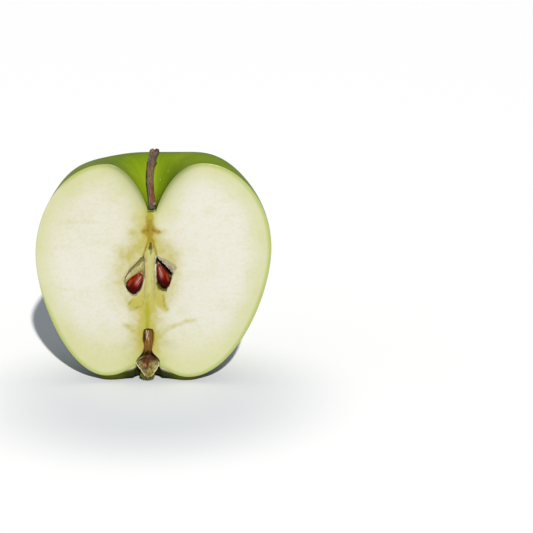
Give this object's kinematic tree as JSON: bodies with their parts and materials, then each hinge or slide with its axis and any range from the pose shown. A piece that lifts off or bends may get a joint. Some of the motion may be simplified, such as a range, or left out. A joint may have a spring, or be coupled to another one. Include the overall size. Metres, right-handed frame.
{
  "type": "green apple half",
  "caption": "Half of a green apple, cut from stalk to calyx and standing on its base, with open core chambers holding seeds, the stalk in its hollow and the dried calyx.",
  "frame": {"origin": "on the ground plane, under the middle of the box that holds the half, so the core axis stands about 19.5 mm in front of the box's middle, on the cut", "axes": "+Z from the calyx up to the stalk, +Y from the cut face to the rounded back, so the cut face looks along -Y, and +X to the right as seen from in front of the cut"},
  "size_m": [0.0784, 0.0399, 0.0804],
  "materials": {
    "flesh_and_skin": "moist pale cream flesh on the cut, waxy yellow-green skin round it",
    "stalk_bark": "dry grey-brown bark with a red-brown streak",
    "seed_coat": "glossy dark red-brown coat",
    "dry_calyx": "dry, downy, olive to brown"
  },
  "bodies": {
    "root": {"apple_flesh": "flesh_and_skin", "stem": "stalk_bark", "seed_left": "seed_coat", "seed_right": "seed_coat", "calyx": "dry_calyx"}
  },
  "joints": []
}
